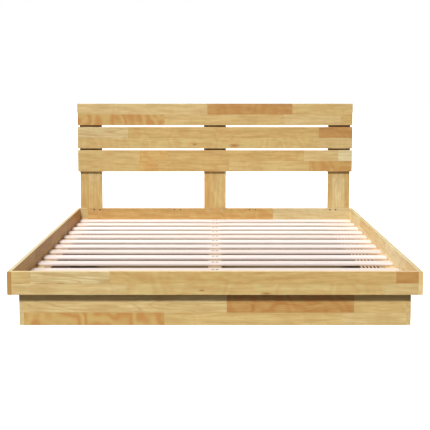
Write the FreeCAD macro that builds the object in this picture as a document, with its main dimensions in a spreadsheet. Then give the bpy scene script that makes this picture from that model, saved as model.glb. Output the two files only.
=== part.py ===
import FreeCAD, Part
import Sketcher
import os

# A low platform bed for a 1600 x 2000 mm mattress, built from 18 mm finger-jointed boards.
# Frame: origin on the floor under the middle of the bed, +Y towards the headboard, +X to the
# right of someone standing at the foot, +Z up.  All sizes are in millimetres.

doc = FreeCAD.newDocument("wooden_bed_frame")
sheet = doc.addObject("Spreadsheet::Sheet", "Sizes")
Vector = FreeCAD.Vector
Rotation = FreeCAD.Rotation

DRIVING_SIZES = {
    # the sleeping area and the stock
    "mattress_width": 1600,
    "mattress_length": 2000,
    "board": 18,
    "ease": 2,
    # the frame of rails
    "rail_low": 130,
    "rail_height": 94,
    # the headboard
    "post_width": 130,
    "post_top": 840,
    "panel_width": 1620,
    "panel_height": 127,
    "panel_gap": 10,
    "bed_height": 843,
    # the plinth and what ties it to the rails
    "plinth_setback": 39,
    "slat_low": 145,
    "ledger_width": 33,
    "ledger_depth": 45,
    "block_side": 40,
    # the middle support
    "beam_width": 60,
    "beam_depth": 80,
    "beam_rest_width": 100,
    "beam_rest_thick": 30,
    "leg_place": 320,
    # the slats and the webbing under them
    "slat_length": 1596,
    "slat_width": 70,
    "slat_thick": 12,
    "slat_pitch": 155.5,
    "foot_slat_shift": 24,
    "strap_place": 683,
    "strap_width": 80,
    "strap_thick": 1.5,
    "strap_end_gap": 2,
    # wood screws
    "fit_gap": 0.1,
    "screw_shank": 4,
    "screw_head": 8,
    "screw_head_deep": 2,
    "slat_screw_length": 35,
    "slat_screw_place": 9,
    "headboard_screw_length": 32,
    "headboard_screw_spread": 35,
    "post_foot_screw_up": 10,
    "cleat_screw_length": 50,
    "ledger_screw_length": 45,
    "ledger_screw_down": 23,
    "end_screw_inner": 200,
    "end_screw_outer": 600,
    "side_screw_pitch": 440,
    "ledger_screw_shift": 60,
    # bolts, sleeve nuts and barrel nuts
    "bolt_shank": 6,
    "bolt_head": 9.6,
    "bolt_head_deep": 4,
    "post_bolt_length": 32,
    "sleeve": 8,
    "sleeve_deep": 10,
    "sleeve_flange": 13,
    "sleeve_flange_thick": 2,
    "outer_pair_centre": 700,
    "inner_pair_centre": 223,
    "pair_spacing": 34,
    "pair_below_top": 9,
    "spare_hole": 7,
    "spare_hole_deep": 14,
    "centre_bolt_place": 42,
    "centre_bolt_below_top": 14,
    "corner_bolt_length": 60,
    "corner_bolt_spacing": 40,
    "barrel_nut": 10,
    "barrel_nut_length": 14,
    "barrel_nut_inset": 34,
    # dowels
    "dowel": 8,
    "dowel_length": 36,
    "dowel_in_face": 12,
    "plinth_dowel_low": 40,
    "plinth_dowel_high": 105,
}
SLAT_COUNT = 13
SHIFTED_SLATS = 3
SIDE_SCREW_STEPS = (-2, -1, 0, 1, 2)

for row, (alias, size) in enumerate(DRIVING_SIZES.items(), start=1):
    sheet.set(f"A{row}", alias)
    sheet.set(f"B{row}", str(size))
    sheet.setAlias(f"B{row}", alias)
doc.recompute()

# ---------------------------------------------------------------- places, as expressions
FOOT_FACE = "(0 - (mattress_length + 3 * board) / 2)"
FOOT_INNER = f"({FOOT_FACE} + board)"
HEAD_INNER = f"({FOOT_INNER} + mattress_length)"
HEAD_BACK = f"({HEAD_INNER} + board)"
POST_BACK = f"({HEAD_BACK} + board)"
SIDE_INNER = "(mattress_width / 2)"
SIDE_OUTER = f"({SIDE_INNER} + board)"
RAIL_TOP = "(rail_low + rail_height)"
RAIL_MIDDLE = "(rail_low + rail_height / 2)"
PLINTH_SIDE = f"({SIDE_OUTER} - plinth_setback)"
PLINTH_SIDE_INNER = f"({PLINTH_SIDE} - board)"
PLINTH_FRONT = f"({FOOT_FACE} + plinth_setback)"
PLINTH_FRONT_INNER = f"({PLINTH_FRONT} + board)"
PLINTH_BACK = f"({HEAD_BACK} - plinth_setback)"
PLINTH_BACK_INNER = f"({PLINTH_BACK} - board)"
LEDGER_INNER = f"({PLINTH_SIDE_INNER} - ledger_width)"
LEDGER_LOW = "(slat_low - ledger_depth)"
BEAM_LOW = "(slat_low - beam_depth)"
CLEAT_MIDDLE = "((rail_low + slat_low) / 2)"
POST_CENTRES = {
    "left": f"(post_width / 2 - {SIDE_INNER})",
    "centre": "0",
    "right": f"({SIDE_INNER} - post_width / 2)",
}


def bound(expression):
    """Turn every size name in an expression into a reference to its cell."""
    spaced = expression.replace("(", " ( ").replace(")", " ) ")
    words = [f"Sizes.{word}" if word in DRIVING_SIZES else word for word in spaced.split()]
    return " ".join(words)


def minus(expression):
    return f"(0 - {expression})"


def sided(side, place):
    """A place on the right of the bed, or its mirror image on the left."""
    return minus(place) if side == "left" else place


def sided_span(side, low, high):
    """The span from low to high on the right, or its mirror image on the left."""
    return (minus(high), minus(low)) if side == "left" else (low, high)


def about(centre, width):
    """The span of the given width about a centre."""
    return f"({centre} - {width} / 2)", f"({centre} + {width} / 2)"


# ---------------------------------------------------------------- boards and blocks
AXIS_NUMBER = {"X": 0, "Y": 1, "Z": 2}
PLANE_ACROSS = {"X": "YZ_Plane", "Y": "XZ_Plane", "Z": "XY_Plane"}
IN_PLANE = {"X": ("Y", "Z"), "Y": ("X", "Z"), "Z": ("X", "Y")}
NORMAL_SIGN = {"X": 1, "Y": -1, "Z": 1}
CORNER_SIGNS = ((-1, -1), (1, -1), (1, 1), (-1, 1))
DRAFT_HALF = 10.0
sub_parts = []
centres = {}


def sketch_across(body, name, axis):
    """A sketch on the body's own origin plane that lies across the given axis."""
    planes = [plane for plane in body.Origin.OriginFeatures if plane.Role == PLANE_ACROSS[axis]]
    sketch = body.newObject("Sketcher::SketchObject", name)
    sketch.AttachmentSupport = [(planes[0], "")]
    sketch.MapMode = "FlatFace"
    return sketch


def draw_section(sketch, width, height):
    """A rectangle centred on the sketch's origin, its two sizes bound to the sheet."""
    corners = [Vector(DRAFT_HALF * sx, DRAFT_HALF * sy, 0) for sx, sy in CORNER_SIGNS]
    for number in range(4):
        sketch.addGeometry(Part.LineSegment(corners[number], corners[(number + 1) % 4]), False)
    for number in range(4):
        sketch.addConstraint(Sketcher.Constraint("Coincident", number, 2, (number + 1) % 4, 1))
    for line in (0, 2):
        sketch.addConstraint(Sketcher.Constraint("Horizontal", line))
    for line in (1, 3):
        sketch.addConstraint(Sketcher.Constraint("Vertical", line))
    sketch.addConstraint(Sketcher.Constraint("Symmetric", 0, 1, 1, 2, -1, 1))
    across = sketch.addConstraint(Sketcher.Constraint("DistanceX", 0, 1, 0, 2, 2 * DRAFT_HALF))
    up = sketch.addConstraint(Sketcher.Constraint("DistanceY", 1, 1, 1, 2, 2 * DRAFT_HALF))
    sketch.renameConstraint(across, "width")
    sketch.renameConstraint(up, "height")
    sketch.setExpression("Constraints.width", bound(width))
    sketch.setExpression("Constraints.height", bound(height))


def board(name, along, x, y, z, eased=True):
    """A straight piece of timber filling the spans x, y and z, its long edges eased."""
    spans = {"X": x, "Y": y, "Z": z}
    sizes = {axis: f"({high} - {low})" for axis, (low, high) in spans.items()}
    body = doc.addObject("PartDesign::Body", name)
    body.Label = name
    centres[name] = {axis: f"(({low} + {high}) / 2)" for axis, (low, high) in spans.items()}
    for axis, centre in centres[name].items():
        body.setExpression(f"Placement.Base.{axis.lower()}", bound(centre))
    first, second = IN_PLANE[along]
    sketch = sketch_across(body, f"{name}_section", along)
    draw_section(sketch, sizes[first], sizes[second])
    pad = body.newObject("PartDesign::Pad", f"{name}_pad")
    pad.Profile = sketch
    pad.SideType = "Symmetric"
    pad.setExpression("Length", bound(sizes[along]))
    doc.recompute()
    if eased:
        long_way = AXIS_NUMBER[along]
        long_edges = []
        for number, edge in enumerate(pad.Shape.Edges, start=1):
            run = edge.tangentAt(edge.FirstParameter)
            if abs(run[long_way]) > 0.99:
                long_edges.append(f"Edge{number}")
        easing = body.newObject("PartDesign::Fillet", f"{name}_easing")
        easing.Base = (pad, long_edges)
        easing.setExpression("Radius", bound("ease"))
        doc.recompute()
    sub_parts.append(body)
    return body


def drill(body, toward, face, places, diameter, depth):
    """Round holes of one size, sunk from a face in the direction given as +X, -Y and so on."""
    sign, axis = toward
    centre = centres[body.Name]
    first, second = IN_PLANE[axis]
    number = len([item for item in body.Group if item.TypeId == "PartDesign::Pocket"]) + 1
    sketch = sketch_across(body, f"{body.Name}_holes_{number}", axis)
    outward = f"({face} - {centre[axis]})"
    if NORMAL_SIGN[axis] < 0:
        outward = minus(outward)
    sketch.setExpression("AttachmentOffset.Base.z", bound(outward))
    for index, (first_place, second_place) in enumerate(places):
        start = Vector(DRAFT_HALF * index, DRAFT_HALF, 0)
        sketch.addGeometry(Part.Circle(start, Vector(0, 0, 1), 1.0), False)
        across = sketch.addConstraint(Sketcher.Constraint("DistanceX", -1, 1, index, 3, start.x))
        up = sketch.addConstraint(Sketcher.Constraint("DistanceY", -1, 1, index, 3, start.y))
        sketch.setExpression(f"Constraints[{across}]", bound(f"{first_place} - {centre[first]}"))
        sketch.setExpression(f"Constraints[{up}]", bound(f"{second_place} - {centre[second]}"))
        if index == 0:
            size = sketch.addConstraint(Sketcher.Constraint("Diameter", 0, 2.0))
            sketch.setExpression(f"Constraints[{size}]", bound(diameter))
        else:
            sketch.addConstraint(Sketcher.Constraint("Equal", 0, index))
    volume_before = body.Shape.Volume
    pocket = body.newObject("PartDesign::Pocket", f"{body.Name}_drilling_{number}")
    pocket.Profile = sketch
    pocket.setExpression("Length", bound(depth))
    goes_with_normal = (sign == "+") == (NORMAL_SIGN[axis] > 0)
    pocket.Reversed = goes_with_normal
    doc.recompute()
    removed = volume_before - body.Shape.Volume
    if removed < 1.0:
        raise RuntimeError(f"the holes {pocket.Name} cut nothing")
    return pocket


def drill_pilots(body, toward, face, places, depth):
    """Holes for the shanks of wood screws."""
    drill(body, toward, face, places, "screw_shank + fit_gap", depth)


def drill_for_heads(body, toward, face, places, thickness):
    """Holes through a piece for wood screws whose heads lie flush in the given face."""
    drill_pilots(body, toward, face, places, thickness)
    drill(body, toward, face, places, "screw_head + fit_gap", "screw_head_deep")


# ---------------------------------------------------------------- fasteners
TURN_TO = {
    "+X": Rotation(Vector(0, 1, 0), 90),
    "-X": Rotation(Vector(0, 1, 0), -90),
    "+Y": Rotation(Vector(1, 0, 0), -90),
    "-Y": Rotation(Vector(1, 0, 0), 90),
    "+Z": Rotation(Vector(0, 0, 1), 0),
    "-Z": Rotation(Vector(1, 0, 0), 180),
}


def rod(name, toward, place, diameter, length, start="0"):
    """A cylinder from start to start + length beyond a place, in the direction given."""
    sign, axis = toward
    cylinder = doc.addObject("Part::Cylinder", name)
    cylinder.Placement = FreeCAD.Placement(Vector(), TURN_TO[toward])
    for name_of_axis, coordinate in zip("XYZ", place):
        moved = f"{coordinate} {sign} {start}" if name_of_axis == axis else coordinate
        cylinder.setExpression(f"Placement.Base.{name_of_axis.lower()}", bound(moved))
    cylinder.setExpression("Radius", bound(f"({diameter}) / 2"))
    cylinder.setExpression("Height", bound(length))
    return cylinder


def headed(name, toward, place, head, head_deep, shank, length):
    """A screw or bolt with a flat head, the outside of the head at the given place."""
    fused = doc.addObject("Part::Fuse", name)
    fused.Base = rod(f"{name}_head", toward, place, head, head_deep)
    fused.Tool = rod(f"{name}_shank", toward, place, shank, length)
    fused.Refine = True
    return fused


def wood_screw(name, toward, place, length):
    return headed(name, toward, place, "screw_head", "screw_head_deep", "screw_shank", length)


def group(name, pieces):
    """Identical fasteners kept together as one sub-part of separate solids."""
    compound = doc.addObject("Part::Compound", name)
    compound.Label = name
    compound.Links = pieces
    sub_parts.append(compound)


# ---------------------------------------------------------------- the frame of rails
# The side rails run the whole length, and the foot and head rails stand between their ends.
CORNER_BOLT_HEIGHTS = [f"({RAIL_MIDDLE} {sign} corner_bolt_spacing / 2)" for sign in "-+"]
rail_span = ("rail_low", RAIL_TOP)
across_bed = (minus(SIDE_INNER), SIDE_INNER)
foot_rail = board("foot_rail", "X", across_bed, (FOOT_FACE, FOOT_INNER), rail_span)
head_rail = board("head_rail", "X", across_bed, (HEAD_INNER, HEAD_BACK), rail_span)
rail_ends = {
    "foot": (foot_rail, f"(({FOOT_FACE} + {FOOT_INNER}) / 2)", FOOT_INNER),
    "head": (head_rail, f"(({HEAD_INNER} + {HEAD_BACK}) / 2)", HEAD_BACK),
}
corner_bolts = []
barrel_nuts = []
dowels = []
for side, inward, outward in (("left", "+X", "-X"), ("right", "-X", "+X")):
    outer_face = sided(side, SIDE_OUTER)
    inner_face = sided(side, SIDE_INNER)
    nut_place = sided(side, f"({SIDE_INNER} - barrel_nut_inset)")
    dowel_start = f"({inner_face} {outward[0]} dowel_in_face)"
    x_span = sided_span(side, SIDE_INNER, SIDE_OUTER)
    side_rail = board(f"side_rail_{side}", "Y", x_span, (FOOT_FACE, HEAD_BACK), rail_span)
    bolt_places = [(rail_ends[end][1], height) for end in rail_ends for height in CORNER_BOLT_HEIGHTS]
    dowel_places = [(rail_ends[end][1], RAIL_MIDDLE) for end in rail_ends]
    drill(side_rail, inward, outer_face, bolt_places, "bolt_shank + fit_gap", "board")
    drill(side_rail, inward, outer_face, bolt_places, "bolt_head + fit_gap", "bolt_head_deep")
    drill(side_rail, outward, inner_face, dowel_places, "dowel + fit_gap", "dowel_in_face")
    for end, (rail, middle, nut_face) in rail_ends.items():
        nut_places = [(nut_place, height) for height in CORNER_BOLT_HEIGHTS]
        end_places = [(middle, height) for height in CORNER_BOLT_HEIGHTS]
        drill(rail, "-Y", nut_face, nut_places, "barrel_nut + fit_gap", "barrel_nut_length")
        bolt_reach = "corner_bolt_length - board"
        drill(rail, inward, inner_face, end_places, "bolt_shank + fit_gap", bolt_reach)
        dowel_reach = "dowel_length - dowel_in_face"
        drill(rail, inward, inner_face, [(middle, RAIL_MIDDLE)], "dowel + fit_gap", dowel_reach)
        dowel_place = (dowel_start, middle, RAIL_MIDDLE)
        dowels.append(rod(f"rail_dowel_{end}_{side}", inward, dowel_place, "dowel", "dowel_length"))
        for number, height in enumerate(CORNER_BOLT_HEIGHTS, start=1):
            corner = f"{end}_{side}_{number}"
            bolt_place = (outer_face, middle, height)
            corner_bolts.append(headed(f"corner_bolt_{corner}", inward, bolt_place, "bolt_head",
                                       "bolt_head_deep", "bolt_shank", "corner_bolt_length"))
            nut = doc.addObject("Part::Cut", f"barrel_nut_{corner}")
            nut.Base = rod(f"{nut.Name}_round", "-Y", (nut_place, nut_face, height),
                           "barrel_nut", "barrel_nut_length")
            nut.Tool = rod(f"{nut.Name}_thread", inward, bolt_place, "bolt_shank + fit_gap",
                           "2 * corner_bolt_length")
            barrel_nuts.append(nut)

# ---------------------------------------------------------------- the headboard
# Three posts stand behind the head rail, and three wide boards are screwed to their fronts.
post_backs = {}
headboard_screws = []
post_bolts = {"outer": [], "centre": []}
sleeve_nuts = []
outer_pair = [f"(outer_pair_centre {sign} pair_spacing / 2)" for sign in "-+"]
inner_pair = [f"(inner_pair_centre {sign} pair_spacing / 2)" for sign in "-+"]
pair_height = f"({RAIL_TOP} - pair_below_top)"
centre_height = f"({RAIL_TOP} - centre_bolt_below_top)"
POST_BOLT_PLACES = {
    "left": [(minus(place), pair_height) for place in outer_pair],
    "centre": [(minus("centre_bolt_place"), centre_height), ("centre_bolt_place", centre_height)],
    "right": [(place, pair_height) for place in outer_pair],
}
BOARD_NAMES = ("top", "middle", "bottom")
board_spans = {}
for number, name in enumerate(BOARD_NAMES):
    high = f"(bed_height - {number} * (panel_height + panel_gap))"
    board_spans[name] = (f"({high} - panel_height)", high)
headboard_boards = {}
for name, z_span in board_spans.items():
    x_span = ("(0 - panel_width / 2)", "(panel_width / 2)")
    y_span = (HEAD_INNER, HEAD_BACK)
    headboard_boards[name] = board(f"headboard_board_{name}", "X", x_span, y_span, z_span)

SPREADS = (("-", "+"), ("+", "-"))
board_screw_places = {name: [] for name in BOARD_NAMES}
post_foot_places = []
for side, centre in POST_CENTRES.items():
    x_span = about(centre, "post_width")
    post = board(f"headboard_post_{side}", "Z", x_span, (HEAD_BACK, POST_BACK),
                 ("rail_low", "post_top"))
    screw_places = []
    for name, (low, high) in board_spans.items():
        for x_sign, z_sign in SPREADS:
            x_place = f"({centre} {x_sign} headboard_screw_spread)"
            z_place = f"(({low} + {high}) / 2 {z_sign} headboard_screw_spread)"
            screw_places.append((x_place, z_place))
            board_screw_places[name].append((x_place, z_place))
    for x_sign in "-+":
        x_place = f"({centre} {x_sign} headboard_screw_spread)"
        z_place = "(rail_low + post_foot_screw_up)"
        screw_places.append((x_place, z_place))
        post_foot_places.append((x_place, z_place))
    drill_for_heads(post, "-Y", POST_BACK, screw_places, "board")
    for number, (x_place, z_place) in enumerate(screw_places, start=1):
        place = (x_place, POST_BACK, z_place)
        screw_name = f"headboard_screw_{side}_{number}"
        headboard_screws.append(wood_screw(screw_name, "-Y", place, "headboard_screw_length"))
    bolt_places = POST_BOLT_PLACES[side]
    drill(post, "-Y", POST_BACK, bolt_places, "bolt_shank + fit_gap", "board")
    drill(post, "-Y", POST_BACK, bolt_places, "sleeve + fit_gap", "sleeve_deep")
    drill(post, "-Y", POST_BACK, bolt_places, "sleeve_flange + fit_gap", "sleeve_flange_thick")
    drill(head_rail, "+Y", HEAD_INNER, bolt_places, "bolt_shank + fit_gap", "board")
    drill(head_rail, "+Y", HEAD_INNER, bolt_places, "bolt_head + fit_gap", "bolt_head_deep")
    for number, (x_place, z_place) in enumerate(bolt_places, start=1):
        which = "centre" if side == "centre" else "outer"
        bolt = headed(f"post_bolt_{side}_{number}", "+Y", (x_place, HEAD_INNER, z_place),
                      "bolt_head", "bolt_head_deep", "bolt_shank", "post_bolt_length")
        post_bolts[which].append(bolt)
        nut = doc.addObject("Part::Cut", f"sleeve_nut_{side}_{number}")
        back_place = (x_place, POST_BACK, z_place)
        nut.Base = headed(f"{nut.Name}_body", "-Y", back_place, "sleeve_flange",
                          "sleeve_flange_thick", "sleeve", "sleeve_deep")
        nut.Tool = rod(f"{nut.Name}_thread", "-Y", back_place, "bolt_shank + fit_gap",
                       "board")
        sleeve_nuts.append(nut)

screw_reach = "headboard_screw_length - board"
drill_pilots(head_rail, "-Y", HEAD_BACK, post_foot_places, screw_reach)
for name, places in board_screw_places.items():
    drill_pilots(headboard_boards[name], "-Y", HEAD_BACK, places, screw_reach)
# Two pairs of spare holes, blind, bored from the inner face of the head rail.
spare_places = [(place, pair_height) for place in inner_pair]
spare_places += [(minus(place), pair_height) for place in inner_pair]
drill(head_rail, "+Y", HEAD_INNER, spare_places, "spare_hole", "spare_hole_deep")

# ---------------------------------------------------------------- the plinth
# Four panels on edge, set back under the rails; the side panels run past the front and back.
plinth_span = ("0", "slat_low")
between_sides = (minus(PLINTH_SIDE_INNER), PLINTH_SIDE_INNER)
plinth_front = board("plinth_front", "X", between_sides, (PLINTH_FRONT, PLINTH_FRONT_INNER),
                     plinth_span)
plinth_back = board("plinth_back", "X", between_sides, (PLINTH_BACK_INNER, PLINTH_BACK),
                    plinth_span)
plinth_ends = {
    "front": (plinth_front, f"(({PLINTH_FRONT} + {PLINTH_FRONT_INNER}) / 2)"),
    "back": (plinth_back, f"(({PLINTH_BACK} + {PLINTH_BACK_INNER}) / 2)"),
}
cleat_screws = []
ledger_screws = []
dowel_heights = ("plinth_dowel_low", "plinth_dowel_high")
side_screw_ys = [f"({step} * side_screw_pitch)" for step in SIDE_SCREW_STEPS]
ledger_screw_ys = [f"({place} + ledger_screw_shift)" for place in side_screw_ys]
ledger_screw_height = "(slat_low - ledger_screw_down)"
inside_length = (PLINTH_FRONT_INNER, PLINTH_BACK_INNER)
for side, inward, outward in (("left", "+X", "-X"), ("right", "-X", "+X")):
    inner_face = sided(side, PLINTH_SIDE_INNER)
    rail_face = sided(side, SIDE_INNER)
    cleat_face = sided(side, PLINTH_SIDE)
    ledger_face = sided(side, LEDGER_INNER)
    x_span = sided_span(side, PLINTH_SIDE_INNER, PLINTH_SIDE)
    panel = board(f"plinth_{side}", "Y", x_span, (PLINTH_FRONT, PLINTH_BACK), plinth_span)
    x_span = sided_span(side, PLINTH_SIDE, SIDE_INNER)
    cleat = board(f"side_cleat_{side}", "Y", x_span, (FOOT_INNER, HEAD_INNER),
                  ("rail_low", "slat_low"), eased=False)
    x_span = sided_span(side, LEDGER_INNER, PLINTH_SIDE_INNER)
    ledger = board(f"side_ledger_{side}", "Y", x_span, inside_length, (LEDGER_LOW, "slat_low"),
                   eased=False)
    # dowels from the side panel into the ends of the front and back panels
    panel_dowels = [(middle, height) for _, middle in plinth_ends.values()
                    for height in dowel_heights]
    drill(panel, outward, inner_face, panel_dowels, "dowel + fit_gap", "dowel_in_face")
    for end, (end_panel, middle) in plinth_ends.items():
        places = [(middle, height) for height in dowel_heights]
        drill(end_panel, inward, inner_face, places, "dowel + fit_gap",
              "dowel_length - dowel_in_face")
        for number, height in enumerate(dowel_heights, start=1):
            start = (f"({inner_face} {outward[0]} dowel_in_face)", middle, height)
            dowel_name = f"plinth_dowel_{end}_{side}_{number}"
            dowels.append(rod(dowel_name, inward, start, "dowel", "dowel_length"))
    # screws through the panel and the cleat into the rail, their heads behind the ledger
    places = [(place, CLEAT_MIDDLE) for place in side_screw_ys]
    drill_for_heads(panel, outward, inner_face, places, "board")
    drill_pilots(cleat, outward, cleat_face, places, "plinth_setback")
    rail = doc.getObject(f"side_rail_{side}")
    drill_pilots(rail, outward, rail_face, places, "cleat_screw_length - plinth_setback")
    for number, (y_place, z_place) in enumerate(places, start=1):
        place = (inner_face, y_place, z_place)
        screw_name = f"cleat_screw_{side}_{number}"
        cleat_screws.append(wood_screw(screw_name, outward, place, "cleat_screw_length"))
    # screws through the ledger into the panel
    places = [(place, ledger_screw_height) for place in ledger_screw_ys]
    drill_for_heads(ledger, outward, ledger_face, places, "ledger_width")
    drill_pilots(panel, outward, inner_face, places, "ledger_screw_length - ledger_width")
    for number, (y_place, z_place) in enumerate(places, start=1):
        place = (ledger_face, y_place, z_place)
        screw_name = f"ledger_screw_{side}_{number}"
        ledger_screws.append(wood_screw(screw_name, outward, place, "ledger_screw_length"))

# The cleats at the two ends, each screwed through the plinth into the rail beyond it.
cleat_ends = {
    "foot": (plinth_front, foot_rail, "-Y", PLINTH_FRONT_INNER, PLINTH_FRONT, FOOT_INNER,
             (FOOT_INNER, PLINTH_FRONT)),
    "head": (plinth_back, head_rail, "+Y", PLINTH_BACK_INNER, PLINTH_BACK, HEAD_INNER,
             (PLINTH_BACK, HEAD_INNER)),
}
end_screw_places = []
for distance in ("end_screw_inner", "end_screw_outer"):
    end_screw_places.append((minus(distance), CLEAT_MIDDLE))
    end_screw_places.append((distance, CLEAT_MIDDLE))
for end, (panel, rail, toward, screw_face, cleat_face, rail_face, y_span) in cleat_ends.items():
    cleat = board(f"{end}_cleat", "X", (minus(PLINTH_SIDE), PLINTH_SIDE), y_span,
                  ("rail_low", "slat_low"), eased=False)
    drill_for_heads(panel, toward, screw_face, end_screw_places, "board")
    drill_pilots(cleat, toward, cleat_face, end_screw_places, "plinth_setback")
    drill_pilots(rail, toward, rail_face, end_screw_places, "cleat_screw_length - plinth_setback")
    for number, (x_place, z_place) in enumerate(end_screw_places, start=1):
        place = (x_place, screw_face, z_place)
        screw_name = f"cleat_screw_{end}_{number}"
        cleat_screws.append(wood_screw(screw_name, toward, place, "cleat_screw_length"))

# Square blocks glued into the plinth's inside corners, below the ledgers.
block_y_spans = {
    "front": (PLINTH_FRONT_INNER, f"({PLINTH_FRONT_INNER} + block_side)"),
    "back": (f"({PLINTH_BACK_INNER} - block_side)", PLINTH_BACK_INNER),
}
for end, y_span in block_y_spans.items():
    for side in ("left", "right"):
        x_span = sided_span(side, f"({PLINTH_SIDE_INNER} - block_side)", PLINTH_SIDE_INNER)
        board(f"corner_block_{end}_{side}", "Z", x_span, y_span, ("0", LEDGER_LOW), eased=False)

# ---------------------------------------------------------------- the middle support
# A beam from the plinth's front to its back, on a rest at each end and two legs between.
beam = board("centre_beam", "Y", about("0", "beam_width"), inside_length,
             (BEAM_LOW, "slat_low"))
rest_y_spans = {
    "front": (PLINTH_FRONT_INNER, f"({PLINTH_FRONT_INNER} + beam_rest_thick)"),
    "back": (f"({PLINTH_BACK_INNER} - beam_rest_thick)", PLINTH_BACK_INNER),
}
for end, y_span in rest_y_spans.items():
    board(f"beam_rest_{end}", "Z", about("0", "beam_rest_width"), y_span, ("0", BEAM_LOW),
          eased=False)
for end, sign in (("front", "-"), ("back", "+")):
    y_span = about(f"(0 {sign} leg_place)", "beam_width")
    board(f"centre_leg_{end}", "Z", about("0", "beam_width"), y_span, ("0", BEAM_LOW))

# ---------------------------------------------------------------- slats
# The first slat lies against the head rail and is screwed to the plinth's back panel; the
# others are screwed to the beam.  The last few are set a little nearer the foot.
SLAT_TOP = "(slat_low + slat_thick)"
slat_screws = []
support_places = {"panel": [], "beam": []}
for number in range(1, SLAT_COUNT + 1):
    y_place = f"({HEAD_INNER} - slat_width / 2 - {number - 1} * slat_pitch)"
    if number > SLAT_COUNT - SHIFTED_SLATS:
        y_place = f"({y_place} - foot_slat_shift)"
    slat = board(f"slat_{number:02d}", "X", about("0", "slat_length"),
                 about(y_place, "slat_width"), ("slat_low", SLAT_TOP))
    places = [(minus("slat_screw_place"), y_place), ("slat_screw_place", y_place)]
    support_places["panel" if number == 1 else "beam"] += places
    drill_for_heads(slat, "-Z", SLAT_TOP, places, "slat_thick")
    for index, (x_place, y_screw) in enumerate(places, start=1):
        place = (x_place, y_screw, SLAT_TOP)
        screw_name = f"slat_screw_{number:02d}_{index}"
        slat_screws.append(wood_screw(screw_name, "-Z", place, "slat_screw_length"))
slat_screw_reach = "slat_screw_length - slat_thick"
drill_pilots(plinth_back, "-Z", "slat_low", support_places["panel"], slat_screw_reach)
drill_pilots(beam, "-Z", "slat_low", support_places["beam"], slat_screw_reach)

# A strip of webbing runs under the slats near each end of them and keeps them spaced.
strap_length = (f"({PLINTH_FRONT_INNER} + strap_end_gap)", f"({PLINTH_BACK_INNER} - strap_end_gap)")
for side in ("left", "right"):
    x_span = about(sided(side, "strap_place"), "strap_width")
    board(f"webbing_strap_{side}", "Y", x_span, strap_length,
          ("(slat_low - strap_thick)", "slat_low"), eased=False)

group("corner_bolts", corner_bolts)
group("barrel_nuts", barrel_nuts)
group("outer_post_bolts", post_bolts["outer"])
group("centre_post_bolts", post_bolts["centre"])
group("sleeve_nuts", sleeve_nuts)
group("headboard_screws", headboard_screws)
group("cleat_screws", cleat_screws)
group("ledger_screws", ledger_screws)
group("slat_screws", slat_screws)
group("dowels", dowels)
doc.recompute()

# ---------------------------------------------------------------- checking and writing
for item in doc.Objects:
    if "Invalid" in item.State or "Error" in item.State:
        raise RuntimeError(f"{item.Name} failed: {item.State}")
os.makedirs("parts", exist_ok=True)
whole = FreeCAD.BoundBox()
for sub_part in sub_parts:
    shape = sub_part.Shape
    if shape.isNull() or not shape.isValid():
        raise RuntimeError(f"{sub_part.Label} has no valid shape")
    whole.add(shape.BoundBox)
    shape.exportStep(f"parts/{sub_part.Label}.step")
print(f"{len(sub_parts)} sub-parts, {whole.XLength:.1f} x {whole.YLength:.1f} x {whole.ZLength:.1f} mm")
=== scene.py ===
import math

import bmesh
import bpy
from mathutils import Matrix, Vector


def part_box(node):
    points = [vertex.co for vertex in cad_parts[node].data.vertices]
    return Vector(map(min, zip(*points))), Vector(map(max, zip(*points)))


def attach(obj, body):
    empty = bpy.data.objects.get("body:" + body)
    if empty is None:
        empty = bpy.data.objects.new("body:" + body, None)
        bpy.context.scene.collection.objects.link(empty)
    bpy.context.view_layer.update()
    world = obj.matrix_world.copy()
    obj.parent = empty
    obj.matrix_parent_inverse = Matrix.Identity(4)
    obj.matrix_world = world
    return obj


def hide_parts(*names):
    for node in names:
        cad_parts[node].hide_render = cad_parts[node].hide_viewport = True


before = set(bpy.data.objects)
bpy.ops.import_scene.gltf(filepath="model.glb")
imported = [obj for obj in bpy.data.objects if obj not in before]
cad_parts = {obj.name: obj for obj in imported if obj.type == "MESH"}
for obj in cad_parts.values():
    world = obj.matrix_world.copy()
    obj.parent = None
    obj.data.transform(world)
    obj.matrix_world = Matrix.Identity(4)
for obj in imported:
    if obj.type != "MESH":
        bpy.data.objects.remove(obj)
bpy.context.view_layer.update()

# ---------------------------------------------------------------- foot rail
# The long board across the foot of the bed, between the ends of the two side rails.
# It is glued up from two strips of finger-jointed oak staves, planed, and finished with a
# clear satin oil.


def shade(red, green, blue):
    """A colour as it is given, from 0 to 255, turned into light."""
    parts = [part / 255 for part in (red, green, blue)]
    return tuple(p / 12.92 if p <= 0.04045 else ((p + 0.055) / 1.055) ** 2.4 for p in parts)


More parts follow.
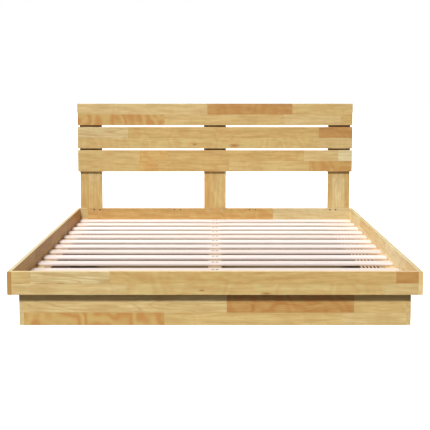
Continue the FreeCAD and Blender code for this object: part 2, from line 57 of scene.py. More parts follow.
class Recipe:
    """A material being made: the calls add nodes, and give back a node or a socket."""

    def __init__(self, name):
        self.material = bpy.data.materials.new(name)
        self.material.use_nodes = True
        self.tree = self.material.node_tree
        self.shader = self.tree.nodes["Principled BSDF"]

    def feed(self, socket, value):
        if isinstance(value, bpy.types.NodeSocket):
            self.tree.links.new(value, socket)
        else:
            socket.default_value = value

    def add(self, kind, **inputs):
        node = self.tree.nodes.new(f"ShaderNode{kind}")
        for name, value in inputs.items():
            self.feed(node.inputs[name], value)
        return node

    def math(self, operation, *values):
        node = self.tree.nodes.new("ShaderNodeMath")
        node.operation = operation
        for socket, value in zip(node.inputs, values):
            self.feed(socket, value)
        return node.outputs[0]

    def blend(self, factor, first, second, how="MIX"):
        """From the first colour to the second, as the factor goes from 0 to 1."""
        node = self.tree.nodes.new("ShaderNodeMix")
        node.data_type = "RGBA"
        node.blend_type = how
        self.feed(node.inputs["Factor"], factor)
        self.feed(node.inputs["A"], (*first, 1) if isinstance(first, tuple) else first)
        self.feed(node.inputs["B"], (*second, 1) if isinstance(second, tuple) else second)
        return node.outputs["Result"]

    def part_blend(self, mask, strength, first, second):
        return self.blend(self.math("MULTIPLY", mask, strength), first, second)

    def dyed(self, colour, dye):
        return self.blend(1.0, colour, dye, "MULTIPLY")

    def place(self, x, y, z):
        return self.add("CombineXYZ", X=x, Y=y, Z=z).outputs[0]

    def within(self, radius, across, centre_across, up, centre_up):
        """1 in the circle of this radius round a centre, and 0 outside it."""
        from_centre = self.add("VectorMath", Vector=self.place(
            self.math("SUBTRACT", across, centre_across), self.math("SUBTRACT", up, centre_up), 0.0))
        from_centre.operation = "LENGTH"
        return self.math("LESS_THAN", from_centre.outputs["Value"], radius)

    def noise(self, where, detail=2.0, roughness=0.5, scale=1.0):
        node = self.add("TexNoise", Vector=where, Scale=scale, Detail=detail, Roughness=roughness)
        return node.outputs["Fac"]

    def spread(self, value, low, high):
        """A value from 0 to 1 stretched to run from low to high."""
        return self.math("MULTIPLY_ADD", value, high - low, low)

    def finish(self, colour, roughness, height, depth, **plain):
        """Set the shader: its colour, roughness and bump, and the plain values left."""
        bump = self.add("Bump", Strength=1.0, Distance=depth, Height=height)
        self.feed(self.shader.inputs["Base Color"], colour)
        self.feed(self.shader.inputs["Roughness"], roughness)
        self.feed(self.shader.inputs["Normal"], bump.outputs[0])
        for name, value in plain.items():
            self.shader.inputs[name.replace("_", " ")].default_value = value
        return self.material


def paint(node, material):
    """Give a part of the frame its material."""
    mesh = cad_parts[node].data
    mesh.materials.clear()
    mesh.materials.append(material)


OAK = {
    "white": shade(221, 204, 158),
    "pale": shade(215, 193, 142),
    "light": shade(211, 184, 128),
    "straw": shade(208, 178, 118),
    "tan": shade(204, 170, 108),
    "honey": shade(206, 165, 99),
    "amber": shade(197, 153, 91),
    "brown": shade(189, 142, 82),
    "russet": shade(188, 136, 72),
    # The last two tones are painted on top faces: the pale one as painted light, the olive one as
    # painted shade.
    "lit_top_pale": shade(205, 191, 150),
    "olive": shade(168, 144, 82),
}
GOLDEN = 0.618
JOINT_LINE = 0.0007
FINGER_DEEP = 0.008
FINGER_HALF = 0.0025
PLAIN_MARKS = (0.12, 0.25)
EASED_EDGE = 0.002
# Painted shade: the dark tone painted into blind bores.
BORE_SHADE_TONE = shade(52, 38, 24)


class OakBoard(Recipe):
    """Finger-jointed oak, painted on from the staves up.  In metres from the board's low
    corner, u runs along it, v across its face and w through it."""

    def __init__(self, name, node, along, across):
        super().__init__(name)
        self.name = name
        self.along = along
        low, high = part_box(node)
        (through,) = {"X", "Y", "Z"} - {along, across}
        axes = ["XYZ".index(axis) for axis in (along, across, through)]
        coordinates = self.add("TexCoord")
        split = self.add("SeparateXYZ", Vector=coordinates.outputs["Object"])
        self.facing = self.add("SeparateXYZ", Vector=coordinates.outputs["Normal"])
        self.u, self.v, self.w = [self.math("SUBTRACT", split.outputs[axis], low[axis])
                                  for axis in axes]
        self.length, self.width, self.thick = [(high - low)[axis] for axis in axes]

    def drawn_out(self, along, across, through=None):
        """Where a pattern is looked up: crowded across the grain, drawn out along it, and
        shifted from stave to stave."""
        through = across if through is None else through
        return self.place(self.math("MULTIPLY_ADD", self.u, along, self.shift),
                          self.math("MULTIPLY", self.v, across),
                          self.math("MULTIPLY", self.w, through))

    def far_out(self, across, up):
        """The length of the line that goes across and up by these distances."""
        return self.math("SQRT", self.math("ADD", self.math("POWER", across, 2.0),
                                           self.math("POWER", up, 2.0)))

    def by_stave(self, where, values):
        """A value for each stave: values lists (end, colour and alpha) from the low end on."""
        ramp = self.add("ValToRGB", Fac=self.math("DIVIDE", where, self.length))
        stops = ramp.color_ramp
        stops.interpolation = "CONSTANT"
        stops.elements.remove(stops.elements[1])
        start = 0.0
        for number, (end, value) in enumerate(values):
            stop = stops.elements[0] if number == 0 else stops.elements.new(start / self.length)
            stop.color = value
            start = end
        return ramp.outputs["Color"], ramp.outputs["Alpha"]

    def lay_staves(self, strips, depth_of_tone):
        """Set what differs from stave to stave: tone, own number, banding, flame and glue
        lines.  The fingers show as a zigzag on the edges and straight on the faces."""
        finger = self.math("PINGPONG", self.w, FINGER_HALF)
        jointed = self.math("MULTIPLY_ADD", finger, FINGER_DEEP / FINGER_HALF, self.u)
        beside = self.math("ADD", jointed, JOINT_LINE)
        seams = []
        edge = 0.0
        for number, (strip_width, staves) in enumerate(strips):
            tones = []
            markings = []
            for place, (end, tone, *marks) in enumerate(staves, start=1):
                own_number = ((number + len(self.name)) * 0.377 + place * GOLDEN) % 1.0
                toned = [part * depth_of_tone for part in OAK[tone]]
                tones.append((end, (*toned, own_number)))
                banding, flame = (*marks, *PLAIN_MARKS[len(marks):])
                markings.append((end, (flame, flame, flame, banding)))
            tone, own = self.by_stave(jointed, tones)
            _, own_beside = self.by_stave(beside, tones)
            flame, banding = self.by_stave(jointed, markings)
            joint = self.math("ABSOLUTE", self.math("SUBTRACT", own, own_beside))
            if number == 0:
                self.tone, self.flame = tone, flame
                self.own, self.joint, self.banding = own, joint, banding
            else:
                above = self.math("GREATER_THAN", self.v, edge)
                self.tone = self.blend(above, self.tone, tone)
                self.flame = self.blend(above, self.flame, flame)
                self.own, self.joint, self.banding = [
                    self.add("Mix", Factor=above, A=under, B=over).outputs[0]
                    for under, over in ((self.own, own), (self.joint, joint),
                                        (self.banding, banding))]
                seams.append(self.math("COMPARE", self.v, edge, JOINT_LINE / 2))
            edge += strip_width
        self.glue = self.math("GREATER_THAN", self.joint, 0.01)
        for seam in seams:
            self.glue = self.math("MAXIMUM", self.glue, seam)
        self.shift = self.math("MULTIPLY", self.own, 13.0)
        self.tilt = self.math("FRACT", self.math("MULTIPLY", self.own, 7.31))
        self.deeper = self.dyed(self.tone, (0.86, 0.76, 0.66))
        self.lighter = self.dyed(self.tone, (1.10, 1.13, 1.16))
        self.dark = self.dyed(self.tone, (0.42, 0.30, 0.20))

    def grow_rings(self):
        """Late wood in the growth rings: each stave is cut from another part of a log."""
        wobble = self.spread(self.noise(self.drawn_out(1.6, 9.0), detail=3.0), -0.022, 0.022)
        beyond = self.math("ADD", self.v, self.spread(self.own, -0.11, 0.05))
        below = self.math("ADD", self.w, self.spread(self.tilt, 0.012, 0.07))
        radius = self.math("ADD", self.far_out(beyond, below), wobble)
        closeness = self.spread(self.tilt, 75.0, 190.0)
        rings = self.math("FRACT", self.math("MULTIPLY", radius, closeness))
        late_wood = self.math("POWER", self.math("PINGPONG", rings, 0.5), 2.0)
        self.late_wood = self.math("MULTIPLY", late_wood, 4.0)

    def colour_grain(self):
        """Broad clouds of colour, the rings, and flames: long thin lines where the rings
        leave the face at a shallow angle."""
        self.clouds = self.noise(self.drawn_out(7.0, 55.0), detail=3.0, roughness=0.6)
        wood = self.blend(self.spread(self.clouds, -1.1, 2.1), self.deeper, self.lighter)
        ring_strength = self.spread(self.flame, 0.3, 0.95)
        wood = self.part_blend(self.late_wood, ring_strength, wood, self.deeper)
        flames = self.noise(self.drawn_out(2.4, 19.0), detail=1.0, roughness=0.3)
        flames = self.math("PINGPONG", self.math("MULTIPLY", flames, 10.0), 0.5)
        flames = self.math("SUBTRACT", 1.0, self.math(
            "MINIMUM", self.math("DIVIDE", flames, 0.13), 1.0))
        return self.part_blend(flames, self.flame, wood, self.dyed(self.tone, (0.74, 0.58, 0.45)))

    def slant_bands(self, wood):
        """Wide slanting bands, where the grain runs out of a stave at an angle."""
        lean = self.math("MULTIPLY_ADD", self.v, self.spread(self.tilt, -0.4, 2.2), self.u)
        ragged = self.noise(self.drawn_out(11.0, 7.0, 1.0), detail=1.0)
        bands = self.math("PINGPONG", self.math("ADD", self.math("MULTIPLY", lean, 8.0),
                                                self.math("MULTIPLY", ragged, 4.0)), 0.5)
        bands = self.math("MULTIPLY", self.math("SUBTRACT", bands, 0.08), 2.8)
        bands = self.math("MINIMUM", self.math("MAXIMUM", bands, 0.0), 1.0)
        bands = self.math("MULTIPLY", bands, self.banding)
        banded = self.blend(bands, wood, self.dyed(self.tone, (0.93, 0.78, 0.64)))
        between = self.math("SUBTRACT", self.banding, bands)
        golden = self.dyed(self.tone, (1.06, 1.24, 1.24))
        return self.part_blend(between, 0.8, banded, golden)

    def open_pores(self, wood):
        """The fine pores that run with the grain."""
        pores = self.noise(self.drawn_out(22.0, 700.0), detail=2.0, roughness=0.7)
        self.pore_lines = self.math("GREATER_THAN", pores, 0.60)
        return self.part_blend(self.pore_lines, 0.16, wood, self.deeper)

    def mark_knots(self, wood, knots):
        tone = self.dyed(self.tone, (0.55, 0.32, 0.15))
        for knot_u, knot_v, knot_long, knot_wide in knots:
            off_u = self.math("DIVIDE", self.math("SUBTRACT", self.u, knot_u), knot_long)
            off_v = self.math("DIVIDE", self.math("SUBTRACT", self.v, knot_v), knot_wide)
            away = self.math("ADD", self.far_out(off_u, off_v),
                             self.spread(self.clouds, -0.35, 0.35))
            core = self.math("SUBTRACT", 1.0, self.math("MINIMUM", away, 1.0))
            wood = self.blend(core, wood, tone)
        return wood

    # Painted shade: a dark disc is painted in each bore, for the shade inside the hole.
    def paint_bore_shade(self, wood, bores):
        for bore_u, bore_v, bore_radius in bores:
            bore_shade = self.within(bore_radius, self.u, bore_u, self.v, bore_v)
            wood = self.blend(bore_shade, wood, BORE_SHADE_TONE)
        return wood

    def soak_ends(self, wood, end_soak):
        """Sawn ends soak up more finish, and the growth rings show in them."""
        end_grain = self.math("GREATER_THAN", self.math(
            "ABSOLUTE", self.facing.outputs[self.along]), 0.7)
        wood = self.part_blend(end_grain, end_soak, wood, self.deeper)
        end_rings = self.math("MULTIPLY", end_grain,
                              self.math("MULTIPLY", self.late_wood, end_soak))
        return self.part_blend(end_rings, 0.5, wood, self.dark)

    # Painted shade: the front face is painted dark between two distances along the board, for the shade
    # on it where other boards cover it.
    def paint_gap_shade(self, wood, low_end, high_end):
        past_low = self.math("GREATER_THAN", self.u, low_end)
        short_of_high = self.math("LESS_THAN", self.u, high_end)
        front = self.math("LESS_THAN", self.facing.outputs["Y"], -0.7)
        gap_shaded_span = self.math("MULTIPLY", past_low, short_of_high)
        return self.blend(self.math("MULTIPLY", gap_shaded_span, front), wood, self.dark)

    def rub_and_light_corners(self, wood):
        """The eased corners are a little rubbed, and painted lighter as a highlight along them."""
        to_edge = self.math("MINIMUM", self.v, self.math("SUBTRACT", self.width, self.v))
        to_face = self.math("MINIMUM", self.w, self.math("SUBTRACT", self.thick, self.w))
        rubbed_and_lit = self.math("LESS_THAN", self.math("MAXIMUM", to_edge, to_face), EASED_EDGE)
        return self.part_blend(rubbed_and_lit, 0.25, wood, self.lighter)


def oak_board(name, node, along, across, strips, knots=(), depth_of_tone=1.0, top_light_and_shade=None,
              end_soak=0.75, gap_shaded_span=None, bores=()):
    """Paint a board: strips lists (width, staves) from the low edge up, and staves lists
    (end, tone, banding, flame) from the low end on: banding is how strongly the stave is
    banded crosswise, and flame how strongly its grain is drawn out in long lines.  Knots, and
    open bits of seam, are (along, across, length, width), and bores are (along, across,
    radius), each painted as a dark disc of shade in the hole.  The top face can be painted a
    tone of its own, given as (tone, strength): painted light where it is paler and painted
    shade where it is darker.  Painted shade lies on the front face between two given
    distances along the board."""
    board = OakBoard(name, node, along, across)
    board.lay_staves(strips, depth_of_tone)
    board.grow_rings()
    wood = board.slant_bands(board.colour_grain())
    wood = board.mark_knots(board.open_pores(wood), knots)
    wood = board.part_blend(board.glue, 0.35, wood, board.dark)
    wood = board.soak_ends(board.paint_bore_shade(wood, bores), end_soak)
    # Painted light and shade: the top face is painted a tone of its own, paler for light and darker for
    # shade.
    if top_light_and_shade:
        top_tone, top_strength = top_light_and_shade
        top = board.math("GREATER_THAN", board.facing.outputs["Z"], 0.7)
        wood = board.part_blend(top, top_strength, wood, OAK[top_tone])
    # Painted shade on the front face, where the boards in front leave it in shadow.
    if gap_shaded_span:
        wood = board.paint_gap_shade(wood, *gap_shaded_span)
    wood = board.rub_and_light_corners(wood)
    height = board.math("SUBTRACT", board.math("MULTIPLY", board.late_wood, 0.4),
                        board.pore_lines)
    rough = board.math("ADD", board.spread(board.clouds, 0.42, 0.56),
                       board.math("MULTIPLY", board.pore_lines, 0.12))
    paint(node, board.finish(wood, rough, height, 0.00012, Specular_IOR_Level=0.35))


# The top face is painted paler, as painted light along the top edge.
oak_board("oak_foot_rail", "foot_rail", "X", "Z", [
    (0.047, [(0.444, "light"), (1.465, "straw", 0.3), (1.600, "light")]),
    (0.047, [(0.073, "straw"), (0.384, "pale", 0.1, 1.0), (0.902, "tan", 0.3), (1.508, "tan"),
             (1.600, "brown")]),
], knots=[(0.748, 0.018, 0.017, 0.006), (1.003, 0.006, 0.030, 0.008),
          (0.030, 0.047, 0.034, 0.0016), (0.120, 0.047, 0.026, 0.0016),
          (0.196, 0.047, 0.020, 0.0016)], top_light_and_shade=("lit_top_pale", 0.4))

# ---------------------------------------------------------------- side rails
# Two long boards that run the whole length and cover the ends of the foot and head rails.
# Each is bolted to them, so its own end grain shows at the foot.
# The left rail is painted darker and browner, as painted shade, and its top paler, as painted light;
# the right rail is painted paler, as painted light, and its top a darker olive, as painted shade.
oak_board("oak_side_rail_left", "side_rail_left", "Y", "Z", [
    (0.047, [(0.310, "honey", 0.5), (0.790, "amber"), (1.240, "honey"), (1.730, "russet"),
             (2.036, "brown")]),
    (0.047, [(0.520, "honey"), (0.980, "brown"), (1.480, "amber"), (2.036, "russet")]),
], depth_of_tone=0.95, top_light_and_shade=("lit_top_pale", 0.85))
oak_board("oak_side_rail_right", "side_rail_right", "Y", "Z", [
    (0.047, [(0.420, "pale"), (0.930, "white"), (1.390, "pale"), (2.036, "white")]),
    (0.047, [(0.260, "light"), (0.760, "white"), (1.130, "pale"), (1.600, "light", 0.3),
             (2.036, "white")]),
], depth_of_tone=1.22, top_light_and_shade=("olive", 0.8), end_soak=0.4)

# ---------------------------------------------------------------- head rail
# The rail across the head end, in front of the posts, drilled with pairs of bolt holes.
# Two pairs of spare holes are blind, and a dark disc is painted in each as shade.
SPARE_HOLES_OUT = (0.206, 0.240)
SPARE_HOLE_UP = 0.085
SPARE_HOLE_RADIUS = 0.0037
head_rail_middle = -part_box("head_rail")[0].x
oak_board("oak_head_rail", "head_rail", "X", "Z", [
    (0.020, [(0.500, "tan"), (1.100, "honey"), (1.600, "straw")]),
    (0.074, [(0.040, "light"), (0.640, "honey", 0.2), (1.143, "honey", 0.35), (1.600, "pale")]),
], depth_of_tone=0.74, bores=[
    (head_rail_middle + side * out, SPARE_HOLE_UP, SPARE_HOLE_RADIUS)
    for side in (-1, 1) for out in SPARE_HOLES_OUT])

# ---------------------------------------------------------------- headboard
# Three wide boards, each of two strips, screwed from behind to three upright posts with a
# finger's gap between them.
oak_board("oak_headboard_top", "headboard_board_top", "X", "Z", [
    (0.0635, [(0.510, "amber", 1.0), (1.211, "straw"), (1.548, "light"), (1.620, "tan")]),
    (0.0635, [(0.761, "light"), (1.261, "brown", 0.4), (1.620, "straw")]),
], depth_of_tone=0.90)
oak_board("oak_headboard_middle", "headboard_board_middle", "X", "Z", [
    (0.0635, [(0.887, "straw", 0.3), (1.406, "straw", 0.4), (1.620, "light")]),
    (0.0635, [(0.297, "pale", 0.1, 0.9), (0.816, "tan", 0.2), (1.420, "tan"), (1.620, "brown", 0.3)]),
], knots=[(0.925, 0.018, 0.040, 0.013), (0.690, 0.024, 0.016, 0.008)], depth_of_tone=0.87)
oak_board("oak_headboard_bottom", "headboard_board_bottom", "X", "Z", [
    (0.0635, [(0.355, "straw"), (0.470, "honey", 0.4), (0.887, "tan", 0.2, 0.6),
              (1.366, "straw", 0.2), (1.620, "amber", 0.5)]),
    (0.0635, [(0.364, "straw"), (0.530, "honey", 0.4), (0.887, "tan", 0.1), (1.332, "tan", 0.2),
              (1.535, "light"), (1.620, "white")]),
], depth_of_tone=0.87)
# The posts' front faces are painted dark from the bottom of the lowest board to the top of the highest,
# as painted shade where they show through the gaps.
post_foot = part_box("headboard_post_left")[0].z
POST_GAP_SHADED_SPAN = (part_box("headboard_board_bottom")[0].z - post_foot,
                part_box("headboard_board_top")[1].z - post_foot)
oak_board("oak_post_left", "headboard_post_left", "Z", "X", [
    (0.048, [(0.390, "tan"), (0.710, "honey")]),
    (0.082, [(0.250, "straw"), (0.710, "light")]),
], depth_of_tone=0.86, gap_shaded_span=POST_GAP_SHADED_SPAN)
oak_board("oak_post_centre", "headboard_post_centre", "Z", "X", [
    (0.036, [(0.310, "honey"), (0.710, "tan")]),
    (0.094, [(0.190, "straw"), (0.710, "straw")]),
], depth_of_tone=0.85, gap_shaded_span=POST_GAP_SHADED_SPAN)
oak_board("oak_post_right", "headboard_post_right", "Z", "X", [
    (0.028, [(0.330, "tan"), (0.710, "straw")]),
    (0.070, [(0.270, "pale"), (0.710, "light")]),
    (0.032, [(0.300, "tan"), (0.710, "straw")]),
], knots=[(0.115, 0.112, 0.008, 0.005)], depth_of_tone=0.85, gap_shaded_span=POST_GAP_SHADED_SPAN)

# ---------------------------------------------------------------- plinth
# A box of four boards on edge that the bed stands on, set back so that the rails overhang.
# The side panels run past the front panel, and their end grain shows beside it.
oak_board("oak_plinth_front", "plinth_front", "X", "Z", [
    (0.051, [(0.558, "amber", 1.0), (1.261, "straw"), (1.522, "light")]),
    (0.094, [(0.806, "light", 0.1, 0.7), (1.309, "brown", 0.4, 0.9), (1.522, "straw")]),
], depth_of_tone=1.05)
oak_board("oak_plinth_back", "plinth_back", "X", "Z", [
    (0.072, [(0.470, "tan"), (0.990, "light"), (1.522, "straw")]),
    (0.073, [(0.210, "light"), (0.730, "honey"), (1.180, "straw"), (1.522, "tan")]),
])
oak_board("oak_plinth_left", "plinth_left", "Y", "Z", [
    (0.072, [(0.380, "pale"), (0.890, "light"), (1.420, "amber"), (1.958, "straw")]),
    (0.073, [(0.610, "pale"), (1.130, "straw"), (1.600, "light"), (1.958, "honey")]),
], end_soak=0.15)
oak_board("oak_plinth_right", "plinth_right", "Y", "Z", [
    (0.072, [(0.290, "light"), (0.840, "tan"), (1.350, "straw"), (1.958, "light")]),
    (0.073, [(0.560, "straw"), (1.010, "brown"), (1.510, "tan"), (1.958, "straw")]),
], end_soak=0.15)

# ---------------------------------------------------------------- cleats, ledgers and blocks
# Plain planed timber: the cleats tie the rails to the plinth, the ledgers carry the slat ends,
# and square blocks are glued into the plinth's corners.
# Painted shade: a dark disc round each slat screw stands for the shade in its countersink.
SCREW_SHADE_RADIUS = 0.007
SCREW_SHADE_TONE = shade(64, 54, 46)


def plain_timber(name, along, tone, grain_dark, coarse=1.0, gap_shade_heights=None, screw_shades=()):
    """Planed timber in one length, with straight grain along one axis.  The faces across Y can be
    painted browner from a given top height down to a low one, as painted shade in the gaps
    between slats, and dark discs painted round given places (x, y), as painted shade in the
    countersinks of screws."""
    recipe = Recipe(name)
    coordinates = recipe.add("TexCoord")
    split = recipe.add("SeparateXYZ", Vector=coordinates.outputs["Object"])
    facing = recipe.add("SeparateXYZ", Vector=coordinates.outputs["Normal"])
    grain = [1.4 if axis == along else 34.0 * coarse for axis in "XYZ"]
    fibre = [9.0 if axis == along else 620.0 for axis in "XYZ"]
    grain_place = recipe.place(*[recipe.math("MULTIPLY", split.outputs[axis], step)
                                 for axis, step in enumerate(grain)])
    fibre_place = recipe.place(*[recipe.math("MULTIPLY", split.outputs[axis], step)
                                 for axis, step in enumerate(fibre)])
    bands = recipe.noise(grain_place, detail=4.0, roughness=0.55)
    rings = recipe.math("PINGPONG", recipe.math("MULTIPLY", bands, 11.0), 0.5)
    fibres = recipe.noise(fibre_place, detail=2.0, roughness=0.6)
    darker = recipe.dyed(tone, grain_dark)
    wood = recipe.part_blend(rings, 1.1, tone, darker)
    wood = recipe.blend(recipe.spread(fibres, -0.25, 0.45), wood, darker)
    end_grain = recipe.math("ABSOLUTE", facing.outputs["XYZ".index(along)])
    end_grain = recipe.math("GREATER_THAN", end_grain, 0.7)
    wood = recipe.part_blend(end_grain, 0.6, wood, darker)
    # Painted shade: the faces across Y grow browner towards the bottom, for the shade in the gaps
    # between slats.
    if gap_shade_heights:
        depth = recipe.add("MapRange", Value=split.outputs["Z"])
        for limit, edge_height in zip(("From Min", "From Max"), gap_shade_heights):
            depth.inputs[limit].default_value = edge_height
        on_edge = recipe.math("GREATER_THAN", recipe.math("ABSOLUTE", facing.outputs["Y"]), 0.7)
        gap_shaded = recipe.dyed(wood, (0.56, 0.43, 0.30))
        wood = recipe.part_blend(on_edge, depth.outputs[0], wood, gap_shaded)
    # Painted shade: a dark disc round each given place, for the shade in a countersink.
    for shade_x, shade_y in screw_shades:
        screw_shade = recipe.within(SCREW_SHADE_RADIUS, split.outputs["X"], shade_x, split.outputs["Y"], shade_y)
        wood = recipe.blend(screw_shade, wood, SCREW_SHADE_TONE)
    height = recipe.math("ADD", fibres, recipe.math("MULTIPLY", rings, 0.5))
    return recipe.finish(wood, recipe.spread(fibres, 0.55, 0.75), height, 0.00008,
                         Specular_IOR_Level=0.25)


SUPPORT_TONE = shade(222, 200, 158)
SUPPORT_GRAIN = (0.84, 0.74, 0.62)
support_timber = {axis: plain_timber(f"support_timber_{axis.lower()}", axis, SUPPORT_TONE,
                                     SUPPORT_GRAIN) for axis in "XYZ"}
# Painted shade: the ledgers and the beam, seen only in the gaps under the slats, take a darker copy of
# the support timber.
shaded_timber = plain_timber("slat_bearer_timber", "Y", shade(172, 148, 112), SUPPORT_GRAIN)
for side in ("left", "right"):
    paint(f"side_cleat_{side}", support_timber["Y"])
    paint(f"side_ledger_{side}", shaded_timber)
    for end in ("front", "back"):
        paint(f"corner_block_{end}_{side}", support_timber["Z"])
for end in ("foot", "head"):
    paint(f"{end}_cleat", support_timber["X"])

# ---------------------------------------------------------------- middle support
# A beam under the middle of the slats takes their screws.  It lies on a rest inside each end
# of the plinth and on two short legs between them, all cut from plain timber.
# Painted shade: the beam takes the darker copy of the timber.
paint("centre_beam", shaded_timber)
for end in ("front", "back"):
    paint(f"beam_rest_{end}", support_timber["Z"])
    paint(f"centre_leg_{end}", support_timber["Z"])

# ---------------------------------------------------------------- slats
# Thirteen planed softwood slats, left plain and a little pink, each with two countersunk
# screws into the beam.  No two match, and they are painted paler towards the head and darker
# towards the foot, as painted light and shade.  A dark disc round each screw is painted shade
# in its countersink, and the front and back faces are painted browner low down, as painted
# shade between the slats.
SLAT_TONES = [shade(228, 217, 214), shade(231, 221, 219), shade(226, 212, 206)]
SLAT_GRAIN = (0.90, 0.80, 0.72)
# Painted light and shade: the slats are painted paler at the head and darker towards the foot, by a
# step from one slat to the next.
SLAT_PALEST, SLAT_LIGHT_STEP = 1.16, 0.022
SLAT_SCREW_PLACE = 0.009
slat_nodes = sorted(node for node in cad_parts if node.startswith("slat_") and node[-1].isdigit())
# Painted shade: the slats' front and back faces brown from 5 mm below the top down to 1 mm above the
# bottom.
slat_gap_shade = (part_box("slat_01")[1].z - 0.005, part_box("slat_01")[0].z + 0.001)
for number, node in enumerate(slat_nodes):
    slat_low, slat_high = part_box(node)
    slat_middle = (slat_low.y + slat_high.y) / 2
    paleness = SLAT_PALEST - SLAT_LIGHT_STEP * number
    slat_tone = tuple(part * paleness for part in SLAT_TONES[number * 2 % len(SLAT_TONES)])
    coarse = 0.8 + number * GOLDEN % 1.0
    screws = [(SLAT_SCREW_PLACE * side, slat_middle) for side in (-1, 1)]
    paint(node, plain_timber(f"wood_{node}", "X", slat_tone, SLAT_GRAIN, coarse, slat_gap_shade, screws))


# ---------------------------------------------------------------- webbing
# Two woven straps run under the slats near their ends, stapled to each to keep their spacing.
# The slack has worked its way to the foot, where the stiff webbing bows up between one slat
# and the next.  The right strap is woven with pale lengthwise bars.
WEB_RIB = 0.0022
WEB_TONE = shade(50, 31, 18)
WEB_BAR_TONE = shade(196, 164, 128)
WEB_BAR_PITCH = 0.016
WEB_BOW = 0.008
WEB_TIGHT_GAPS = 6
WEB_SLACKENING_GAPS = 2
WEB_STEPS = 240
slat_spans = [(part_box(node)[0].y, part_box(node)[1].y) for node in slat_nodes]
web_bows = []
for number in range(1, len(slat_spans)):
    slack = min(max((number - WEB_TIGHT_GAPS) / WEB_SLACKENING_GAPS, 0.0), 1.0)
    web_bows.append((slat_spans[number][1], slat_spans[number - 1][0], WEB_BOW * slack))


def web_rise(y):
    """How far the webbing stands up at a distance along the bed: nothing under a slat, and
    an even bow between one slat and the next."""
    for start, end, rise in web_bows:
        if start < y < end:
            share = (y - start) / (end - start)
            return rise * 4 * share * (1 - share)
    return 0.0


def webbing_material(name, barred):
    """Dark webbing: crosswise ribs with a twill in them, and pale bars along it if barred."""
    recipe = Recipe(name)
    coordinates = recipe.add("TexCoord")
    split = recipe.add("SeparateXYZ", Vector=coordinates.outputs["Object"])
    across = recipe.math("DIVIDE", split.outputs["X"], WEB_RIB)
    along = recipe.math("DIVIDE", split.outputs["Y"], WEB_RIB)
    twill = recipe.math("PINGPONG", recipe.math("ADD", across, along), 0.5)
    ribs = recipe.math("PINGPONG", along, 0.5)
    weave = recipe.math("MULTIPLY", twill, ribs)
    fuzz = recipe.noise(coordinates.outputs["Object"], detail=3.0, scale=900.0)
    light = recipe.dyed(WEB_TONE, (1.8, 1.7, 1.6))
    colour = recipe.part_blend(weave, 3.0, WEB_TONE, light)
    colour = recipe.blend(recipe.spread(fuzz, 0.0, 0.4), colour, light)
    if barred:
        bars = recipe.math("PINGPONG", split.outputs["X"], WEB_BAR_PITCH / 2)
        bars = recipe.math("GREATER_THAN", bars, WEB_BAR_PITCH / 4)
        colour = recipe.blend(bars, colour, WEB_BAR_TONE)
    return recipe.finish(colour, recipe.spread(fuzz, 0.7, 0.95), weave, 0.0004,
                         Specular_IOR_Level=0.1)


webbing = {"left": webbing_material("plain_webbing", False),
           "right": webbing_material("barred_webbing", True)}
for side in webbing:
    node = f"webbing_strap_{side}"
    low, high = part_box(node)
    mesh = bpy.data.meshes.new(f"strap_{side}")
    strap = bpy.data.objects.new(f"strap_{side}", mesh)
    bpy.context.scene.collection.objects.link(strap)
    shape = bmesh.new()
    bmesh.ops.create_grid(shape, x_segments=2, y_segments=WEB_STEPS, size=0.5)
    bmesh.ops.scale(shape, vec=high - low, verts=shape.verts)
    bmesh.ops.translate(shape, vec=((low.x + high.x) / 2, (low.y + high.y) / 2, low.z),
                        verts=shape.verts)
    for corner in shape.verts:
        corner.co.z += web_rise(corner.co.y)
    underside = shape.faces[:]
    raised = bmesh.ops.extrude_face_region(shape, geom=underside)["geom"]
    bmesh.ops.translate(shape, vec=(0, 0, high.z - low.z),
                        verts=[item for item in raised if isinstance(item, bmesh.types.BMVert)])
    bmesh.ops.recalc_face_normals(shape, faces=shape.faces)
    shape.to_mesh(mesh)
    shape.free()
    mesh.materials.append(webbing[side])
    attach(strap, "root")
    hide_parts(node)


# ---------------------------------------------------------------- fastenings
# Socket bolts, barrel and sleeve nuts and wood screws, turned or rolled from steel and then
# plated or blackened, and beech dowels in the corners.
def steel(name, tone, roughness):
    """Machined steel with a fine, uneven surface."""
    recipe = Recipe(name)
    coordinates = recipe.add("TexCoord")
    grime = recipe.noise(coordinates.outputs["Object"], detail=3.0, scale=350.0)
    scratches = recipe.noise(coordinates.outputs["Object"], detail=4.0, scale=2500.0)
    colour = recipe.blend(grime, tone, recipe.dyed(tone, (0.7, 0.68, 0.64)))
    rough = recipe.spread(grime, roughness - 0.08, roughness + 0.12)
    return recipe.finish(colour, rough, scratches, 0.00003, Metallic=1.0)


dark_steel = steel("blackened_steel", shade(96, 84, 70), 0.5)
plated_steel = steel("plated_steel", shade(214, 206, 198), 0.35)
for node in ("corner_bolts", "outer_post_bolts", "slat_screws"):
    paint(node, dark_steel)
for node in ("barrel_nuts", "centre_post_bolts", "sleeve_nuts", "headboard_screws",
             "cleat_screws", "ledger_screws"):
    paint(node, plated_steel)
paint("dowels", plain_timber("beech_dowel", "X", shade(214, 186, 146), (0.86, 0.76, 0.66)))

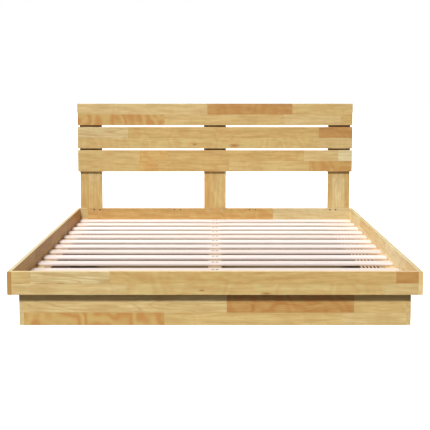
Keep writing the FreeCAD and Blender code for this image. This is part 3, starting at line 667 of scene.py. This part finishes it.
# ---------------------------------------------------------------- studio
# A pale floor without an edge in sight, a high key light from the front left, and wide soft
# lights above, to the left, in front and behind.
FLOOR_SIZE = 60.0
FLOOR_GLOW = 0.85
SHADED_FLOOR = (0.16, 0.11, 0.05)
floor_mesh = bpy.data.meshes.new("studio_floor")
floor = bpy.data.objects.new("studio_floor", floor_mesh)
bpy.context.scene.collection.objects.link(floor)
shape = bmesh.new()
bmesh.ops.create_grid(shape, x_segments=1, y_segments=1, size=FLOOR_SIZE / 2)
shape.to_mesh(floor_mesh)
shape.free()
floor_paint = Recipe("pale_floor")
floor_place = floor_paint.add("TexCoord").outputs["Object"]
floor_cloud = floor_paint.noise(floor_place, detail=2.0, scale=3.0)
floor_tone = floor_paint.blend(floor_cloud, (0.90, 0.90, 0.90), (0.92, 0.92, 0.92))
# inside the plinth the floor lies in deep shade, so it is darker there and does not glow
floor_split = floor_paint.add("SeparateXYZ", Vector=floor_place)
under = 1.0
for axis in range(2):
    low_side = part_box("plinth_left")[0][axis]
    high_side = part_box("plinth_right")[1][axis]
    past_low = floor_paint.math("GREATER_THAN", floor_split.outputs[axis], low_side)
    short_of_high = floor_paint.math("LESS_THAN", floor_split.outputs[axis], high_side)
    within = floor_paint.math("MULTIPLY", past_low, short_of_high)
    under = floor_paint.math("MULTIPLY", within, under)
shaded = floor_paint.blend(under, floor_tone, SHADED_FLOOR)
glow = floor_paint.math("MULTIPLY_ADD", under, -FLOOR_GLOW, FLOOR_GLOW)
floor_paint.feed(floor_paint.shader.inputs["Emission Strength"], glow)
floor_mesh.materials.append(floor_paint.finish(
    shaded, 0.8, floor_cloud, 0.0001, Specular_IOR_Level=0.1, Emission_Color=(1, 1, 1, 1)))
floor.visible_diffuse = False
floor.visible_glossy = False


def lamp(name, kind, place, target, energy, **settings):
    """A light at a place, turned to face a target."""
    data = bpy.data.lights.new(name, kind)
    data.energy = energy
    for setting, value in settings.items():
        setattr(data, setting, value)
    lamp_object = bpy.data.objects.new(name, data)
    bpy.context.scene.collection.objects.link(lamp_object)
    aim = Vector(target) - Vector(place)
    lamp_object.location = place
    lamp_object.rotation_euler = aim.to_track_quat("-Z", "Y").to_euler()


bed_middle = (0.0, 0.0, 0.2)
lamp("key", "SUN", (-0.24, -1.42, 1.42), bed_middle, 3.25, angle=math.radians(8),
     color=(0.97, 1.0, 1.0))
lamp("overhead", "AREA", (-0.4, 0.0, 4.5), bed_middle, 12.0, shape="RECTANGLE", size=5.0, size_y=5.0)
lamp("left_fill", "AREA", (-2.5, 1.5, 3.4), bed_middle, 112.0, shape="RECTANGLE", size=4.0, size_y=3.0)
lamp("front_fill", "AREA", (-1.0, -7.0, 0.9), bed_middle, 34.0, shape="RECTANGLE", size=4.0, size_y=2.0)
lamp("back_fill", "AREA", (1.5, 6.5, 3.0), bed_middle, 110.0, shape="RECTANGLE", size=4.0, size_y=3.0)

world = bpy.data.worlds.new("studio")
bpy.context.scene.world = world
world.use_nodes = True
background = world.node_tree.nodes["Background"]
background.inputs["Color"].default_value = (1, 1, 1, 1)
seen = world.node_tree.nodes.new("ShaderNodeLightPath")
sky = world.node_tree.nodes.new("ShaderNodeTexCoord")
height_of_sky = world.node_tree.nodes.new("ShaderNodeSeparateXYZ")
dome = world.node_tree.nodes.new("ShaderNodeMapRange")
for limit, value in (("From Min", -0.1), ("From Max", 0.2), ("To Min", 0.08), ("To Max", 0.35)):
    dome.inputs[limit].default_value = value
level = world.node_tree.nodes.new("ShaderNodeMath")
level.operation = "MAXIMUM"
for source, target in ((sky.outputs["Generated"], height_of_sky.inputs[0]),
                       (height_of_sky.outputs["Z"], dome.inputs["Value"]),
                       (seen.outputs["Is Camera Ray"], level.inputs[0]),
                       (dome.outputs[0], level.inputs[1]),
                       (level.outputs[0], background.inputs["Strength"])):
    world.node_tree.links.new(source, target)
bpy.context.scene.view_settings.view_transform = "Standard"

# The camera stands well back from the foot, a little above the headboard, looking slightly down.
camera_data = bpy.data.cameras.new("camera")
camera = bpy.data.objects.new("camera", camera_data)
bpy.context.scene.collection.objects.link(camera)
camera.location = (0.0, -4.877, 0.952)
camera.rotation_euler = (math.radians(90 - 5.73), 0, 0)
camera_data.sensor_width = 36.0
camera_data.lens = 83.3
camera_data.shift_y = -0.07
bpy.context.scene.camera = camera
